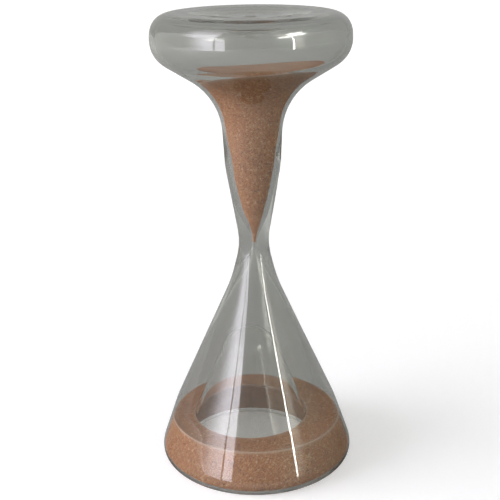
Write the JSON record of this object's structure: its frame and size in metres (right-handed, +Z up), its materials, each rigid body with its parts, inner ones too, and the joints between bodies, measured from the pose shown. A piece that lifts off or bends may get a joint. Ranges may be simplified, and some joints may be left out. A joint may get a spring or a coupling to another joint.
{
  "type": "hourglass",
  "caption": "Frameless blown-glass hourglass with a wide, slightly dished head, a narrow waist and a conical lower bulb with a hollow punt, filled with brown sand.",
  "frame": {"origin": "on the axis of the glass, at the height of the surface it stands on", "axes": "+Z up along the axis of the glass, +X away from the side that the punt is shifted to, -Y towards the viewer in front"},
  "size_m": [0.0866, 0.0866, 0.2],
  "materials": {
    "upper_bulb": "clear, faintly grey blown glass",
    "lower_bulb": "clear, faintly grey blown glass",
    "fill_seal": "clear glass drop",
    "upper_sand": "fine brown sand",
    "lower_sand": "fine brown sand"
  },
  "bodies": {
    "root": {"upper_bulb": "upper_bulb", "lower_bulb": "lower_bulb", "fill_seal": "fill_seal", "upper_sand": "upper_sand", "lower_sand": "lower_sand"}
  },
  "joints": []
}
